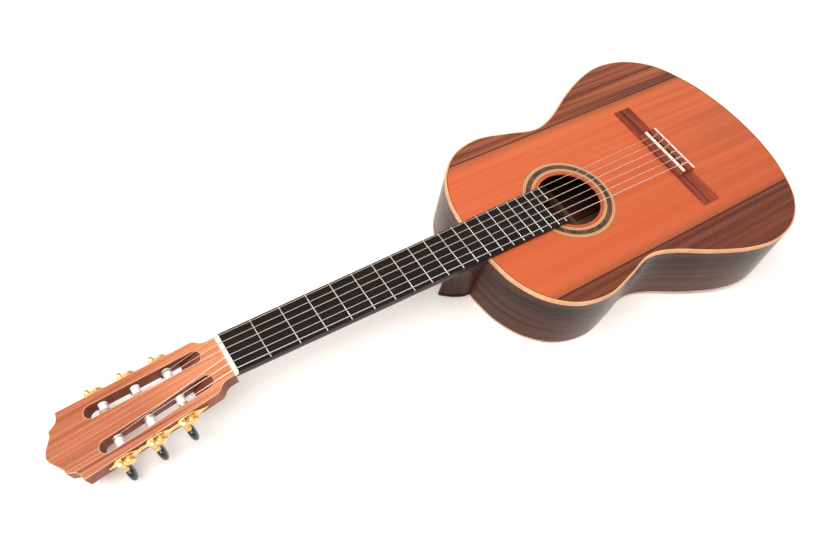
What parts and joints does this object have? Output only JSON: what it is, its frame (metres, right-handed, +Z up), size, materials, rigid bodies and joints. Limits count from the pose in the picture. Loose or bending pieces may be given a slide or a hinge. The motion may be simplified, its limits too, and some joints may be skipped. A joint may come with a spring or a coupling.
{
  "type": "classical guitar",
  "caption": "Classical guitar lying on its back: waisted hollow body, fretted neck, slotted head with geared tuners, tied nylon strings",
  "frame": {"origin": "middle of the footprint of the bounding box, on the surface the guitar lies on", "axes": "+X from the head to the tail, +Y to the treble side, +Z up out of the soundboard"},
  "size_m": [1.0148, 0.3666, 0.1199],
  "materials": {
    "cedar": "satin, straight grained",
    "wing_cedar": "satin",
    "rosette": "inlaid mosaic rings, polished flush",
    "rosewood": "gloss",
    "maple": "satin",
    "mahogany": "satin",
    "face_veneer": "satin",
    "ebony": "satin, with nickel silver frets",
    "bone": "polished",
    "white_trim": "satin",
    "spruce": "raw",
    "nylon": "translucent",
    "wound_silver": "fine winding",
    "gold_brass": "polished",
    "white_plastic": "gloss",
    "black_button": "gloss"
  },
  "bodies": {
    "guitar": {"back_bass": "rosewood", "back_bracing": "spruce", "back_strip": "maple", "back_treble": "rosewood", "binding_back": "maple", "binding_top": "maple", "bridge": "rosewood", "fingerboard": "ebony", "head_plate": "face_veneer", "headstock": "mahogany", "heel_cap": "rosewood", "lining_back_bass": "spruce", "lining_back_treble": "spruce", "lining_top_bass": "spruce", "lining_top_treble": "spruce", "neck": "mahogany", "nut": "bone", "rosette": "rosette", "saddle": "bone", "side_bass": "rosewood", "side_treble": "rosewood", "string_a5": "wound_silver", "string_b2": "nylon", "string_d4": "wound_silver", "string_e1": "nylon", "string_e6": "wound_silver", "string_g3": "nylon", "tail_block": "mahogany", "tie_block_trim": "white_trim", "top_bracing": "spruce", "top_centre": "cedar", "top_wing_bass": "wing_cedar", "top_wing_treble": "wing_cedar", "tuner_plate_bass": "gold_brass", "tuner_plate_treble": "gold_brass"},
    "key_e1": {"worm_e1": "gold_brass", "button_e1": "black_button"},
    "post_e1": {"roller_e1": "white_plastic", "gear_e1": "gold_brass"},
    "key_b2": {"worm_b2": "gold_brass", "button_b2": "black_button"},
    "post_b2": {"roller_b2": "white_plastic", "gear_b2": "gold_brass"},
    "key_g3": {"worm_g3": "gold_brass", "button_g3": "black_button"},
    "post_g3": {"roller_g3": "white_plastic", "gear_g3": "gold_brass"},
    "key_d4": {"worm_d4": "gold_brass", "button_d4": "black_button"},
    "post_d4": {"roller_d4": "white_plastic", "gear_d4": "gold_brass"},
    "key_a5": {"worm_a5": "gold_brass", "button_a5": "black_button"},
    "post_a5": {"roller_a5": "white_plastic", "gear_a5": "gold_brass"},
    "key_e6": {"worm_e6": "gold_brass", "button_e6": "black_button"},
    "post_e6": {"roller_e6": "white_plastic", "gear_e6": "gold_brass"}
  },
  "joints": [
    {"name": "key_e1_turn", "type": "hinge", "parent": "guitar", "child": "key_e1", "pos_m": [-0.3807, 0.04064, 0.06055], "axis": [-0.252, 0, 0.9677], "continuous": true},
    {"name": "post_e1_turn", "type": "hinge", "parent": "guitar", "child": "post_e1", "pos_m": [-0.37215, 0.04024, 0.06278], "axis": [0.0433, 0.999, 0.0113], "continuous": true},
    {"name": "key_b2_turn", "type": "hinge", "parent": "guitar", "child": "key_b2", "pos_m": [-0.41454, 0.0422, 0.05174], "axis": [-0.252, 0, 0.9677], "continuous": true},
    {"name": "post_b2_turn", "type": "hinge", "parent": "guitar", "child": "post_b2", "pos_m": [-0.40598, 0.04181, 0.05397], "axis": [0.0433, 0.999, 0.0113], "continuous": true},
    {"name": "key_g3_turn", "type": "hinge", "parent": "guitar", "child": "key_g3", "pos_m": [-0.44838, 0.04376, 0.04293], "axis": [-0.252, 0, 0.9677], "continuous": true},
    {"name": "post_g3_turn", "type": "hinge", "parent": "guitar", "child": "post_g3", "pos_m": [-0.43982, 0.04337, 0.04516], "axis": [0.0433, 0.999, 0.0113], "continuous": true},
    {"name": "key_d4_turn", "type": "hinge", "parent": "guitar", "child": "key_d4", "pos_m": [-0.44838, -0.04376, 0.04293], "axis": [-0.252, 0, 0.9677], "continuous": true},
    {"name": "post_d4_turn", "type": "hinge", "parent": "guitar", "child": "post_d4", "pos_m": [-0.43982, -0.04337, 0.04516], "axis": [0.0433, -0.999, 0.0113], "continuous": true},
    {"name": "key_a5_turn", "type": "hinge", "parent": "guitar", "child": "key_a5", "pos_m": [-0.41454, -0.0422, 0.05174], "axis": [-0.252, 0, 0.9677], "continuous": true},
    {"name": "post_a5_turn", "type": "hinge", "parent": "guitar", "child": "post_a5", "pos_m": [-0.40598, -0.04181, 0.05397], "axis": [0.0433, -0.999, 0.0113], "continuous": true},
    {"name": "key_e6_turn", "type": "hinge", "parent": "guitar", "child": "key_e6", "pos_m": [-0.3807, -0.04064, 0.06055], "axis": [-0.252, 0, 0.9677], "continuous": true},
    {"name": "post_e6_turn", "type": "hinge", "parent": "guitar", "child": "post_e6", "pos_m": [-0.37215, -0.04024, 0.06278], "axis": [0.0433, -0.999, 0.0113], "continuous": true}
  ],
  "couplings": [
    {"joint": "post_e1_turn", "follows": "key_e1_turn", "ratio": -0.071429},
    {"joint": "post_b2_turn", "follows": "key_b2_turn", "ratio": -0.071429},
    {"joint": "post_g3_turn", "follows": "key_g3_turn", "ratio": -0.071429},
    {"joint": "post_d4_turn", "follows": "key_d4_turn", "ratio": 0.071429},
    {"joint": "post_a5_turn", "follows": "key_a5_turn", "ratio": 0.071429},
    {"joint": "post_e6_turn", "follows": "key_e6_turn", "ratio": 0.071429}
  ]
}
